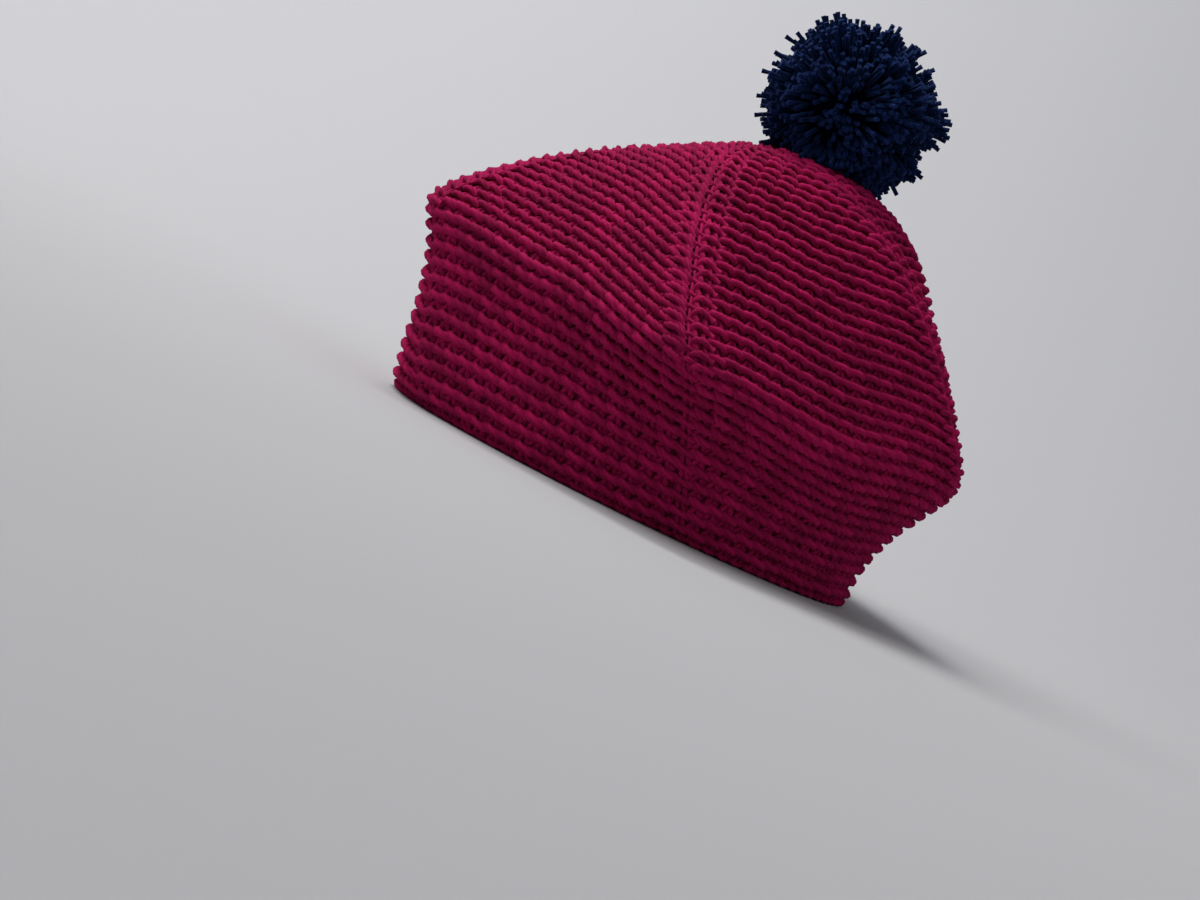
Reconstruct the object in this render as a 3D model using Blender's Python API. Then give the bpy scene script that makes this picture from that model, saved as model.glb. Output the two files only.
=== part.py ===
"""A crocheted beret with a pompom: the beret in one piece, its pompom, and the yarn that ties the pompom on.

Metres, +Z up. The wearer's forehead is towards -X, the back of the head towards +X. The rim lies on z = 0.
The crown is worked from its centre outwards in five wedges, so the widest round is a five-cornered fold.
"""

import math
import random

import bmesh
import bpy
from mathutils import Matrix, Vector

# Beret, outside sizes
RIM_LENGTH = 0.195
RIM_WIDTH = 0.162
FOLD_REACH = 0.121
FOLD_HEIGHT = 0.070
CROWN_HEIGHT = 0.150
CROWN_SET_BACK = 0.015
WALL = 0.0045

# Crochet rounds: the distance from one to the next, and how far each round's ridge stands up
ROUND_PITCH = 0.0052
RIDGE = 0.0013

# Pompom: a dense head, and locks of cut yarn that stand out from it
POMPOM_DIAMETER = 0.069
POMPOM_HEAD_DIAMETER = 0.052
POMPOM_RISE = 0.0248
LOCK_COUNT = 90
LOCK_ROOT_DIAMETER = 0.0072
LOCK_TIP_DIAMETER = 0.0104
LOCK_UNEVENNESS = 0.0025

# Tie yarn that holds the pompom: through the crown's centre, with a knot inside
TIE_DIAMETER = 0.0034
TIE_LENGTH_IN_POMPOM = 0.010
KNOT_DIAMETER = 0.0085
CLEARANCE = 0.0003

# Shape of the crown and the band
CORNERS = 5
SET_BACK_CURVE = 1.5    # power by which the set-back fades out towards the fold
CORNER_FADE = 1.4       # power by which the five corners fade out towards the centre
FLARE_CURVE = 3         # power of the band's flare from its foot out to the fold
BELLY_CURVE = 6         # power that keeps the belly wide until just above the rim
CORNER_SOFTNESS = math.radians(5)
CROWN_SWIRL = 0.80      # the seams turn by this times the logarithm of the share of the way out
SWIRL_END = 0.12        # share of the reach inside which the seams turn no further
BAND_SWIRL = math.radians(15)
SOFTENING_PASSES = 14
SOFTENING_SPAN = 7      # half rounds on each side of the fold that the softening reaches

# The fold, a row for each corner and each middle of an edge, from the near corner round by the back.
# reach: share of FOLD_REACH. height: share of FOLD_HEIGHT. soft: 0 is a sharp fold and 1 a round one.
# fall: power of the crown's fall from its centre. blunt: below 1 the band turns in sharply under the fold,
# above 1 it hangs straight first. belly: share of the band's flare that stays wide until just above the rim.
FOLD = (
    # place                reach  height  soft  fall  blunt  belly
    ("near corner",        0.975, 0.84,   0.45, 2.10, 1.00,  0.20),
    ("near back edge",     0.870, 0.74,   0.60, 2.25, 1.30,  0.05),
    ("back near corner",   0.995, 0.90,   0.50, 2.30, 1.40,  0.00),
    ("back edge",          0.880, 0.90,   0.60, 2.30, 1.35,  0.05),
    ("back far corner",    0.980, 0.94,   0.50, 2.25, 1.20,  0.10),
    ("far edge",           0.860, 0.90,   0.60, 2.15, 1.10,  0.20),
    ("front far corner",   0.990, 1.01,   0.35, 1.95, 1.00,  0.35),
    ("front edge",         0.865, 0.98,   0.40, 1.90, 0.95,  0.40),
    ("front near corner",  0.995, 1.03,   0.25, 1.92, 0.90,  0.42),
    ("near front edge",    0.835, 0.92,   0.45, 2.00, 1.00,  0.30),
)
REACH, HEIGHT, SOFT, FALL, BLUNT, BELLY = range(1, 7)

# Facets
COLUMNS_PER_STATION = 4
MERIDIAN_SAMPLES = 60
INNER_STEP = 4          # half rounds between the rings of the inner face
LOCK_SIDES = 5
TIE_SIDES = 12
KNOT_STEPS = 6

STATIONS = 2 * CORNERS
COLUMNS = STATIONS * COLUMNS_PER_STATION
STATION_ANGLE = 2 * math.pi / STATIONS
MEAN_REACH = sum(row[REACH] for row in FOLD) / STATIONS
HOLE_RADIUS = TIE_DIAMETER / 2 + CLEARANCE
POMPOM_CENTRE = Vector((CROWN_SET_BACK, 0, CROWN_HEIGHT + POMPOM_RISE))


def mix(a, b, share):
    return a + (b - a) * share


def fold_value(column, turn):
    """A column of the FOLD table at a turn from the near corner, with straight edges and softened corners."""
    place = (turn / STATION_ANGLE) % STATIONS
    station = int(place)
    here, there = FOLD[station][column], FOLD[(station + 1) % STATIONS][column]
    corner, middle = (here, there) if station % 2 == 0 else (there, here)
    from_corner = (place - station if station % 2 == 0 else station + 1 - place) * STATION_ANGLE
    if column == REACH:
        soft = math.hypot(from_corner, CORNER_SOFTNESS) - CORNER_SOFTNESS
        whole = math.hypot(STATION_ANGLE, CORNER_SOFTNESS) - CORNER_SOFTNESS
        from_middle = STATION_ANGLE * (1 - soft / whole)
        edge = (1 / math.cos(from_middle) - 1) / (1 / math.cos(STATION_ANGLE) - 1)
    else:
        edge = (1 + math.cos(math.pi * from_corner / STATION_ANGLE)) / 2
    return mix(middle, corner, edge)


def crown_point(turn, out, swirl=CROWN_SWIRL):
    """A point of the crown. out runs from 0 at its centre to 1 at the fold."""
    reach = FOLD_REACH * out * mix(MEAN_REACH, fold_value(REACH, turn), out ** CORNER_FADE)
    fold_height = FOLD_HEIGHT * fold_value(HEIGHT, turn)
    angle = turn + swirl * math.log(max(out, SWIRL_END))
    set_back = CROWN_SET_BACK * (1 - out ** 2) ** SET_BACK_CURVE
    return Vector((
        set_back + reach * math.sin(angle),
        -reach * math.cos(angle),
        mix(CROWN_HEIGHT, fold_height, out ** fold_value(FALL, turn)),
    ))


def band_point(turn, down, swirl=BAND_SWIRL):
    """A point of the band. down runs from 0 at the fold to 1 at the rim."""
    reach = FOLD_REACH * fold_value(REACH, turn)
    fold_height = FOLD_HEIGHT * fold_value(HEIGHT, turn)
    angle = turn + swirl * down
    hang = (1 - down ** fold_value(BLUNT, turn)) ** FLARE_CURVE
    flare = mix(hang, 1 - down ** BELLY_CURVE, fold_value(BELLY, turn))
    return Vector((
        mix(RIM_LENGTH / 2, reach, flare) * math.sin(angle),
        -mix(RIM_WIDTH / 2, reach, flare) * math.cos(angle),
        fold_height * (1 - down),
    ))


def path_length(points):
    return sum((b - a).length for a, b in zip(points, points[1:]))


def even_shares(path, count):
    """The shares of a path, whose points are evenly spread in share, at which it has run equal lengths."""
    step = path_length(path) / count
    shares = [0.0]
    walked = 0.0
    for i, (a, b) in enumerate(zip(path, path[1:])):
        length = (b - a).length
        while len(shares) < count and walked + length >= step * len(shares):
            shares.append((i + (step * len(shares) - walked) / length) / (len(path) - 1))
        walked += length
    return shares + [1.0]


def soften_fold(points, fold, softness):
    """Rounds the fold by drawing each point near it towards the middle of its two neighbours, again and again."""
    for _ in range(SOFTENING_PASSES):
        before = list(points)
        for i in range(fold - SOFTENING_SPAN, fold + SOFTENING_SPAN + 1):
            fade = 1 - abs(i - fold) / (SOFTENING_SPAN + 1)
            middle = (before[i - 1] + before[i + 1]) / 2
            points[i] = before[i].lerp(middle, softness * fade)
    return points


def outer_face():
    """The beret's outer face as rings, one for each half round, from the crown's centre down to the rim.

    The rounds are spaced along the straight way down, without the swirl, so that they lie a pitch apart.
    """
    start = HOLE_RADIUS / (FOLD_REACH * MEAN_REACH)
    turns = [2 * math.pi * c / COLUMNS for c in range(COLUMNS)]
    shares = [i / MERIDIAN_SAMPLES for i in range(MERIDIAN_SAMPLES + 1)]
    crowns = [[crown_point(turn, mix(start, 1, share), swirl=0) for share in shares] for turn in turns]
    bands = [[band_point(turn, share, swirl=0) for share in shares] for turn in turns]
    crown_steps = 2 * round(sum(map(path_length, crowns)) / COLUMNS / ROUND_PITCH)
    band_steps = 2 * round(sum(map(path_length, bands)) / COLUMNS / ROUND_PITCH)
    columns = []
    for turn, crown, band in zip(turns, crowns, bands):
        points = [crown_point(turn, mix(start, 1, share)) for share in even_shares(crown, crown_steps)]
        points += [band_point(turn, share) for share in even_shares(band, band_steps)[1:]]
        columns.append(soften_fold(points, crown_steps, fold_value(SOFT, turn)))
    return [list(ring) for ring in zip(*columns)]


def outward_normals(rings):
    """Outward normals of a grid of rings, one for each point."""
    normals = []
    for r, ring in enumerate(rings):
        above, below = rings[max(r - 1, 0)], rings[min(r + 1, len(rings) - 1)]
        row = []
        for c in range(COLUMNS):
            along = ring[(c + 1) % COLUMNS] - ring[c - 1]
            row.append((below[c] - above[c]).cross(along).normalized())
        normals.append(row)
    return normals


def pushed(ring, normals, distance):
    return [point + normal * distance for point, normal in zip(ring, normals)]


def beret_skin():
    """Rings of the beret's whole skin: down the outer face, across the rim's edge, and up the inner face."""
    face = outer_face()
    normals = outward_normals(face)
    rim = len(face) - 1
    skin = [face[0]]
    for r in range(1, rim):
        lift = RIDGE / 2 if r % 2 == 0 else -RIDGE / 2
        skin.append(pushed(face[r], normals[r], lift))
    skin.append(face[rim])
    level_normals = [Vector((n.x, n.y, 0)).normalized() for n in normals[rim]]
    skin.append(pushed(face[rim], level_normals, -WALL))
    for r in range(rim - INNER_STEP, 1, -INNER_STEP):
        skin.append(pushed(face[r], normals[r], -WALL))
    skin.append([point - Vector((0, 0, WALL)) for point in face[0]])
    return skin


def seat_stack():
    """Rings of the space that the pompom keeps clear of: the crown's top with its ridges and a clearance."""
    face = outer_face()
    normals = outward_normals(face)
    reach = min(2 * round(POMPOM_DIAMETER / ROUND_PITCH), len(face) - 1)
    stack = [pushed(face[r], normals[r], RIDGE / 2 + CLEARANCE) for r in range(0, reach, 2)]
    foot_level = stack[-1][0].z - CROWN_HEIGHT / 2
    stack.append([Vector((point.x, point.y, foot_level)) for point in stack[-1]])
    return stack


def mesh_object(name, shape):
    mesh = bpy.data.meshes.new(name)
    shape.to_mesh(mesh)
    shape.free()
    return bpy.data.objects.new(name, mesh)


def loft(name, rings, closed_round):
    """A solid through rings of equally many points: closed round like a tyre, or a stack with flat ends."""
    shape = bmesh.new()
    loops = [[shape.verts.new(point) for point in ring] for ring in rings]
    pairs = list(zip(loops, loops[1:]))
    if closed_round:
        pairs.append((loops[-1], loops[0]))
    for upper, lower in pairs:
        for c in range(COLUMNS):
            d = (c + 1) % COLUMNS
            shape.faces.new((upper[c], lower[c], lower[d], upper[d]))
    if not closed_round:
        shape.faces.new(loops[0])
        shape.faces.new(reversed(loops[-1]))
    return mesh_object(name, shape)


def material(name, colour, roughness):
    made = bpy.data.materials.new(name)
    made.use_nodes = True
    shader = made.node_tree.nodes["Principled BSDF"]
    shader.inputs["Base Color"].default_value = (*colour, 1)
    shader.inputs["Roughness"].default_value = roughness
    shader.inputs["Metallic"].default_value = 0
    return made


def as_piece(item, finish, collection):
    item.data.materials.append(finish)
    item.data.shade_smooth()
    collection.objects.link(item)
    return item


def as_cutter(item, collection):
    item.display_type = "WIRE"
    item.hide_render = True
    collection.objects.link(item)
    return item


def cut_or_join(target, other, operation):
    boolean = target.modifiers.new(other.name, "BOOLEAN")
    boolean.operation = operation
    boolean.solver = "EXACT"
    boolean.object = other


def lock_directions():
    """Directions spread evenly over a ball, along a spiral from its top to its foot."""
    golden_turn = math.pi * (3 - math.sqrt(5))
    for i in range(LOCK_COUNT):
        level = 1 - 2 * (i + 0.5) / LOCK_COUNT
        across = math.sqrt(1 - level ** 2)
        yield Vector((across * math.cos(golden_turn * i), across * math.sin(golden_turn * i), level))


def make_locks():
    """Blunt locks that widen outwards, each rooted inside the head, some a little longer than others."""
    uneven = random.Random(11)
    root = POMPOM_HEAD_DIAMETER / 2 - LOCK_ROOT_DIAMETER / 2
    shape = bmesh.new()
    for direction in lock_directions():
        tip = POMPOM_DIAMETER / 2 - LOCK_UNEVENNESS * uneven.random()
        to_direction = direction.to_track_quat("Z", "Y").to_matrix().to_4x4()
        place = Matrix.Translation(POMPOM_CENTRE + direction * (root + tip) / 2) @ to_direction
        bmesh.ops.create_cone(
            shape, cap_ends=True, segments=LOCK_SIDES, radius1=LOCK_ROOT_DIAMETER / 2,
            radius2=LOCK_TIP_DIAMETER / 2, depth=tip - root, matrix=place)
    return mesh_object("pompom_locks", shape)


def turned(name, profile):
    """A solid turned about the crown's centre from a profile of (radius, height), top to bottom."""
    shape = bmesh.new()
    points = [shape.verts.new((radius, 0, height)) for radius, height in profile]
    for a, b in zip(points, points[1:]):
        shape.edges.new((a, b))
    bmesh.ops.spin(
        shape, geom=shape.verts[:] + shape.edges[:], cent=(0, 0, 0), axis=(0, 0, 1),
        angle=2 * math.pi, steps=TIE_SIDES)
    bmesh.ops.remove_doubles(shape, verts=shape.verts, dist=CLEARANCE / 10)
    bmesh.ops.recalc_face_normals(shape, faces=shape.faces)
    bmesh.ops.translate(shape, verts=shape.verts, vec=(CROWN_SET_BACK, 0, 0))
    return mesh_object(name, shape)


def tie_profile():
    """The tie's outline: a shank up into the pompom, and below the crown a round knot that can't pull through."""
    shank = TIE_DIAMETER / 2
    knot = KNOT_DIAMETER / 2
    top = CROWN_HEIGHT + TIE_LENGTH_IN_POMPOM
    knot_centre = CROWN_HEIGHT - WALL - CLEARANCE - knot
    first = math.asin(shank / knot)
    profile = [(0, top), (shank, top)]
    for i in range(KNOT_STEPS + 1):
        angle = mix(first, math.pi, i / KNOT_STEPS)
        profile.append((knot * math.sin(angle), knot_centre + knot * math.cos(angle)))
    return profile


def tie_space_profile():
    """The bore that the pompom leaves for the tie's shank, open at its foot."""
    radius = TIE_DIAMETER / 2 + CLEARANCE
    return [(0, CROWN_HEIGHT + TIE_LENGTH_IN_POMPOM + CLEARANCE),
            (radius, CROWN_HEIGHT + TIE_LENGTH_IN_POMPOM + CLEARANCE),
            (radius, CROWN_HEIGHT - WALL), (0, CROWN_HEIGHT - WALL)]


def make_head():
    shape = bmesh.new()
    bmesh.ops.create_icosphere(
        shape, subdivisions=2, radius=POMPOM_HEAD_DIAMETER / 2, matrix=Matrix.Translation(POMPOM_CENTRE))
    return mesh_object("pompom", shape)


def build():
    for item in list(bpy.data.objects):
        bpy.data.objects.remove(item, do_unlink=True)
    pieces = bpy.data.collections.new("crocheted_beret")
    cutters = bpy.data.collections.new("cutters")
    for collection in (pieces, cutters):
        bpy.context.scene.collection.children.link(collection)

    raspberry_wool = material("raspberry_wool", (0.30, 0.010, 0.075), 0.85)
    navy_wool = material("navy_wool", (0.006, 0.011, 0.050), 0.80)
    tie_wool = material("tie_wool", (0.007, 0.013, 0.055), 0.80)

    as_piece(loft("beret", beret_skin(), closed_round=True), raspberry_wool, pieces)
    as_piece(turned("pompom_tie", tie_profile()), tie_wool, pieces)

    pompom = as_piece(make_head(), navy_wool, pieces)
    cut_or_join(pompom, as_cutter(make_locks(), cutters), "UNION")
    cut_or_join(pompom, as_cutter(loft("crown_seat", seat_stack(), closed_round=False), cutters), "DIFFERENCE")
    cut_or_join(pompom, as_cutter(turned("tie_space", tie_space_profile()), cutters), "DIFFERENCE")


build()
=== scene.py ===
# %% [markdown]
# A crocheted beret, stitch by stitch. The solid model says where the beret's wall, its pompom and the tie
# are. Here every stitch is laid on that wall as its own bent piece of yarn, and the pompom is a ball of
# cut strands. The model is loaded first, because each piece takes its place from it.

# %% Load the solid model
import math

import bpy
import numpy as np
from mathutils import Matrix, Vector


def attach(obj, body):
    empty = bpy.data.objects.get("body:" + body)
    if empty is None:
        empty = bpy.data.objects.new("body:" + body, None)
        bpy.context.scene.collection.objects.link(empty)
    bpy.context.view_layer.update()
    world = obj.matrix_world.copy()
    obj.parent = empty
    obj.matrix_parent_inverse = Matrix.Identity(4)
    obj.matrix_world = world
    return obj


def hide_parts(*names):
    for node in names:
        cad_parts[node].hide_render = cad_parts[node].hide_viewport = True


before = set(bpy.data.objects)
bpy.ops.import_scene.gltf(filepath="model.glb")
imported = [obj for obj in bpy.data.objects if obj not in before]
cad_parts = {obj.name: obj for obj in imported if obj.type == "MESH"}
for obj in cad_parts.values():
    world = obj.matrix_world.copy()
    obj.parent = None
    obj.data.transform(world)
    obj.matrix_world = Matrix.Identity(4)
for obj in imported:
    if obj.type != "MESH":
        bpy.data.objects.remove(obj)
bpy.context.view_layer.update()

# %% [markdown]
# The beret is worked from the centre of its crown, in rounds that lie one pitch apart, down to its rim.
# Five seams, where each round gains stitches, part it into five wedges, and the widest round is a fold
# with five corners. A table says how far out, how high and how sharp that fold is at each corner and at
# the middle of each edge. A sculpted mesh could hold the same shape, but a table of ten rows can be read
# and changed. Reach and height are shares of the fold's, soft is 0 for a sharp fold, and fall is the power
# of the crown's fall. Blunt lets the band hang straight before it turns in, and belly keeps it wide.

# %% Sizes of the beret, in metres
RIM_LENGTH = 0.195
RIM_WIDTH = 0.162
FOLD_REACH = 0.121
FOLD_HEIGHT = 0.070
CROWN_HEIGHT = 0.150
CROWN_SET_BACK = 0.015
WALL = 0.0045
ROUND_PITCH = 0.0052
HOLE_RADIUS = 0.0020

CORNERS = 5
SET_BACK_CURVE = 1.5
CORNER_FADE = 1.4       # powers by which the corners fade towards the centre, the band flares
FLARE_CURVE = 3         # out to the fold, and the belly stays wide until just above the rim
BELLY_CURVE = 6
CORNER_SOFTNESS = math.radians(5)
CROWN_SWIRL = 0.80      # times the logarithm of the share of the way out
SWIRL_END = 0.12        # the share inside which the seams turn no further
BAND_SWIRL = math.radians(15)
SOFTENING_PASSES = 14
SOFTENING_SPAN = 7      # half rounds on each side of the fold

FOLD = (
    # place              reach  height soft  fall  blunt belly
    ("near corner",       0.975, 0.84, 0.45, 2.10, 1.00, 0.20),
    ("near back edge",    0.870, 0.74, 0.60, 2.25, 1.30, 0.05),
    ("back near corner",  0.995, 0.90, 0.50, 2.30, 1.40, 0.00),
    ("back edge",         0.880, 0.90, 0.60, 2.30, 1.35, 0.05),
    ("back far corner",   0.980, 0.94, 0.50, 2.25, 1.20, 0.10),
    ("far edge",          0.860, 0.90, 0.60, 2.15, 1.10, 0.20),
    ("front far corner",  0.990, 1.01, 0.35, 1.95, 1.00, 0.35),
    ("front edge",        0.865, 0.98, 0.40, 1.90, 0.95, 0.40),
    ("front near corner", 0.995, 1.03, 0.25, 1.92, 0.90, 0.42),
    ("near front edge",   0.835, 0.92, 0.45, 2.00, 1.00, 0.30),
)
REACH, HEIGHT, SOFT, FALL, BLUNT, BELLY = range(1, 7)
STATIONS = 2 * CORNERS
STATION_ANGLE = 2 * math.pi / STATIONS
MEAN_REACH = sum(row[REACH] for row in FOLD) / STATIONS
COLUMNS = 360
MERIDIAN_SAMPLES = 60
print("corners:", CORNERS, "mean reach of the fold: %.1f mm" % (1000 * FOLD_REACH * MEAN_REACH))

# %% [markdown]
# Two functions give any point of the wall: one for the crown, from its centre out to the fold, and one
# for the band, from the fold down to the rim. The turn runs round the hat from its near side towards the
# back. Both twist as they go, so that a seam, which keeps one turn, swirls across the crown.


# %% The crown and the band as formulas
def mix(a, b, share):
    return a + (b - a) * share


def fold_value(column, turn):
    """A column of the FOLD table at a turn, with straight edges and softened corners."""
    place = (turn / STATION_ANGLE) % STATIONS
    station = int(place)
    here, there = FOLD[station][column], FOLD[(station + 1) % STATIONS][column]
    corner, middle = (here, there) if station % 2 == 0 else (there, here)
    from_corner = (place - station if station % 2 == 0 else station + 1 - place) * STATION_ANGLE
    if column == REACH:
        soft = math.hypot(from_corner, CORNER_SOFTNESS) - CORNER_SOFTNESS
        whole = math.hypot(STATION_ANGLE, CORNER_SOFTNESS) - CORNER_SOFTNESS
        from_middle = STATION_ANGLE * (1 - soft / whole)
        edge = (1 / math.cos(from_middle) - 1) / (1 / math.cos(STATION_ANGLE) - 1)
    else:
        edge = (1 + math.cos(math.pi * from_corner / STATION_ANGLE)) / 2
    return mix(middle, corner, edge)


def crown_point(turn, out, swirl=CROWN_SWIRL):
    """A point of the crown. out runs from 0 at its centre to 1 at the fold."""
    reach = FOLD_REACH * out * mix(MEAN_REACH, fold_value(REACH, turn), out ** CORNER_FADE)
    fold_height = FOLD_HEIGHT * fold_value(HEIGHT, turn)
    angle = turn + swirl * math.log(max(out, SWIRL_END))
    set_back = CROWN_SET_BACK * (1 - out ** 2) ** SET_BACK_CURVE
    return Vector((
        set_back + reach * math.sin(angle),
        -reach * math.cos(angle),
        mix(CROWN_HEIGHT, fold_height, out ** fold_value(FALL, turn)),
    ))


def band_point(turn, down, swirl=BAND_SWIRL):
    """A point of the band. down runs from 0 at the fold to 1 at the rim."""
    reach = FOLD_REACH * fold_value(REACH, turn)
    fold_height = FOLD_HEIGHT * fold_value(HEIGHT, turn)
    angle = turn + swirl * down
    hang = (1 - down ** fold_value(BLUNT, turn)) ** FLARE_CURVE
    flare = mix(hang, 1 - down ** BELLY_CURVE, fold_value(BELLY, turn))
    return Vector((
        mix(RIM_LENGTH / 2, reach, flare) * math.sin(angle),
        -mix(RIM_WIDTH / 2, reach, flare) * math.cos(angle),
        fold_height * (1 - down),
    ))


print("a corner of the fold lies at", [round(1000 * v, 1) for v in crown_point(0, 1)], "mm")

# %% [markdown]
# The rounds are spread at equal lengths down each straight way from the centre to the rim, and the fold
# is softened by drawing its points together. The result is a grid: a ring for each half round, and a
# column for each degree.


# %% The wall's outer face as a grid
def path_length(points):
    return sum((b - a).length for a, b in zip(points, points[1:]))


def even_shares(path, count):
    """The shares at which a path, given by evenly spread points, has run equal lengths."""
    step = path_length(path) / count
    shares = [0.0]
    walked = 0.0
    for i, (a, b) in enumerate(zip(path, path[1:])):
        length = (b - a).length
        while len(shares) < count and walked + length >= step * len(shares):
            shares.append((i + (step * len(shares) - walked) / length) / (len(path) - 1))
        walked += length
    return shares + [1.0]


def soften_fold(points, fold, softness):
    """Rounds the fold by drawing each point near it towards the middle of its two neighbours."""
    for _ in range(SOFTENING_PASSES):
        before = list(points)
        for i in range(fold - SOFTENING_SPAN, fold + SOFTENING_SPAN + 1):
            fade = 1 - abs(i - fold) / (SOFTENING_SPAN + 1)
            middle = (before[i - 1] + before[i + 1]) / 2
            points[i] = before[i].lerp(middle, softness * fade)
    return points


def outer_face():
    """Rings of points, one for each half round, and the number of the ring that is the fold."""
    start = HOLE_RADIUS / (FOLD_REACH * MEAN_REACH)
    turns = [2 * math.pi * c / COLUMNS for c in range(COLUMNS)]
    shares = [i / MERIDIAN_SAMPLES for i in range(MERIDIAN_SAMPLES + 1)]
    crowns = [[crown_point(turn, mix(start, 1, share), swirl=0) for share in shares] for turn in turns]
    bands = [[band_point(turn, share, swirl=0) for share in shares] for turn in turns]
    crown_steps = 2 * round(sum(map(path_length, crowns)) / COLUMNS / ROUND_PITCH)
    band_steps = 2 * round(sum(map(path_length, bands)) / COLUMNS / ROUND_PITCH)
    columns = []
    for turn, crown, band in zip(turns, crowns, bands):
        points = [crown_point(turn, mix(start, 1, share)) for share in even_shares(crown, crown_steps)]
        points += [band_point(turn, share) for share in even_shares(band, band_steps)[1:]]
        columns.append(soften_fold(points, crown_steps, fold_value(SOFT, turn)))
    return np.array([[column[r][:] for column in columns] for r in range(len(columns[0]))]), crown_steps


def unit(vectors):
    return vectors / np.linalg.norm(vectors, axis=-1, keepdims=True)


FACE, FOLD_RING = outer_face()
ALONG = np.roll(FACE, -1, axis=1) - np.roll(FACE, 1, axis=1)
OUTWARD = unit(np.cross(np.gradient(FACE, axis=0), ALONG))
LAST_ROUND = (len(FACE) - 1) // 2
FOLD_ROUND = FOLD_RING // 2
print("rounds:", FOLD_ROUND, "in the crown and", LAST_ROUND - FOLD_ROUND, "in the band")

# %% [markdown]
# The rounds don't lie level. The seams pull them down towards the corners, so between two seams each
# round rises in a low arch. The arch is highest at the fold and fades towards the centre and the rim. A
# second grid follows these arches, with one ring for each round, and all stitches take their place from it.

# %% Rounds that rise between the seams
ARCH = 1.6      # rounds


def arched(grid):
    """The grid's values along the arched rounds."""
    rows = np.arange(LAST_ROUND + 1)[:, None]
    columns = np.arange(COLUMNS)[None, :]
    share = (columns * CORNERS / COLUMNS) % 1
    fade = np.minimum(rows / FOLD_ROUND, (LAST_ROUND - rows) / (LAST_ROUND - FOLD_ROUND))
    rings = 2 * (rows - ARCH * 4 * share * (1 - share) * fade)
    low = np.minimum(rings.astype(int), len(grid) - 2)
    part = (rings - low)[..., None]
    return grid[low, columns] * (1 - part) + grid[low + 1, columns] * part


ROUNDS = arched(FACE)
ROUNDS_OUTWARD = unit(arched(OUTWARD))


def sample(grid, row, turn):
    """A value of a grid of rounds at one of them and at a turn."""
    column = (turn / (2 * math.pi) * COLUMNS) % COLUMNS
    c = int(column) % COLUMNS
    return mix(grid[row][c], grid[row][(c + 1) % COLUMNS], column - int(column))


print("the rounds rise by up to", ARCH, "rounds between two seams")

# %% [markdown]
# Node trees are written with a few helpers. They fill a node's sockets by name, and keep what a tree makes
# of an object as a plain mesh. Each node and link spelt out would take several times as many lines.


# %% Helpers for node trees
MAKING = {}     # its tree is the one that new_group made last, and the helpers add to it


def new_group(name, kind, inputs, outputs):
    tree = MAKING["tree"] = bpy.data.node_groups.new(name, kind)
    for label, socket in inputs.items():
        tree.interface.new_socket(label, in_out="INPUT", socket_type="NodeSocket" + socket)
    for label, socket in outputs.items():
        tree.interface.new_socket(label, in_out="OUTPUT", socket_type="NodeSocket" + socket)
    return tree, tree.nodes.new("NodeGroupInput").outputs, tree.nodes.new("NodeGroupOutput").inputs


def fill(socket, value):
    if isinstance(value, bpy.types.NodeSocket):
        MAKING["tree"].links.new(value, socket)
    else:
        socket.default_value = value


def add(kind, inputs=None, out=None, **settings):
    """Adds a node and gives back one of its outputs: the named one, or its first that is in use."""
    node = MAKING["tree"].nodes.new(kind)
    for key, value in settings.items():
        setattr(node, key, value)
    for key, value in (inputs or {}).items():
        if isinstance(key, int):
            fill(node.inputs[key], value)
        else:
            fill(next(s for s in node.inputs if s.enabled and s.name == key), value)
    return node.outputs[out] if out else next(s for s in node.outputs if s.enabled)


def sums(operation, *values):
    return add("ShaderNodeMath", dict(enumerate(values)), operation=operation)


def vector_sums(operation, *values):
    return add("ShaderNodeVectorMath", dict(enumerate(values)), operation=operation)


def scaled(vector, factor):
    return add("ShaderNodeVectorMath", {0: vector, 3: factor}, operation="SCALE")


def parts(vector):
    """The X, Y and Z of a vector, as outputs."""
    node = MAKING["tree"].nodes.new("ShaderNodeSeparateXYZ")
    fill(node.inputs[0], vector)
    return node.outputs


def times(a, b):
    return sums("MULTIPLY", a, b)


def moved(place, direction, amount):
    return vector_sums("ADD", place, scaled(direction, amount))


def chance(low, high, seed, kind="FLOAT"):
    return add("FunctionNodeRandomValue", {"Min": low, "Max": high, "Seed": seed}, data_type=kind)


def noise(place, scale, detail, out="Fac"):
    return add("ShaderNodeTexNoise", {"Vector": place, "Scale": scale, "Detail": detail}, out=out)


def flow(place, scale):
    """A vector that changes slowly from place to place, so that neighbours go together."""
    return vector_sums("SUBTRACT", noise(place, scale, 1.0, "Color"), (0.5, 0.5, 0.5))


def named(name, kind="FLOAT_VECTOR"):
    return add("GeometryNodeInputNamedAttribute", {"Name": name}, data_type=kind)


def stored(geometry, name, value, kind="FLOAT_VECTOR"):
    return add("GeometryNodeStoreNamedAttribute", {"Geometry": geometry, "Name": name, "Value": value},
               data_type=kind, domain="POINT")


def put(name, data):
    """An object in the scene that holds the data."""
    item = bpy.data.objects.new(name, data)
    bpy.context.scene.collection.objects.link(item)
    return item


def set_values(node, values):
    for key, value in values.items():
        node.inputs[key].default_value = value


def new_material(name):
    material = bpy.data.materials.new(name)
    material.use_nodes = True
    return material, material.node_tree.nodes["Principled BSDF"]


def grown(name, mesh, tree, values):
    """Runs a tree on a mesh and gives back an object that holds the result as a plain mesh."""
    item = put(name, mesh)
    modifier = item.modifiers.new(tree.name, "NODES")
    modifier.node_group = tree
    sockets = {s.name: s.identifier for s in tree.interface.items_tree if s.in_out == "INPUT"}
    for label, value in values.items():
        modifier[sockets[label]] = value
    graph = bpy.context.evaluated_depsgraph_get()
    result = bpy.data.meshes.new_from_object(
        item.evaluated_get(graph), preserve_all_data_layers=True, depsgraph=graph)
    item.modifiers.clear()
    item.data = result
    result.name = name
    return item


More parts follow.
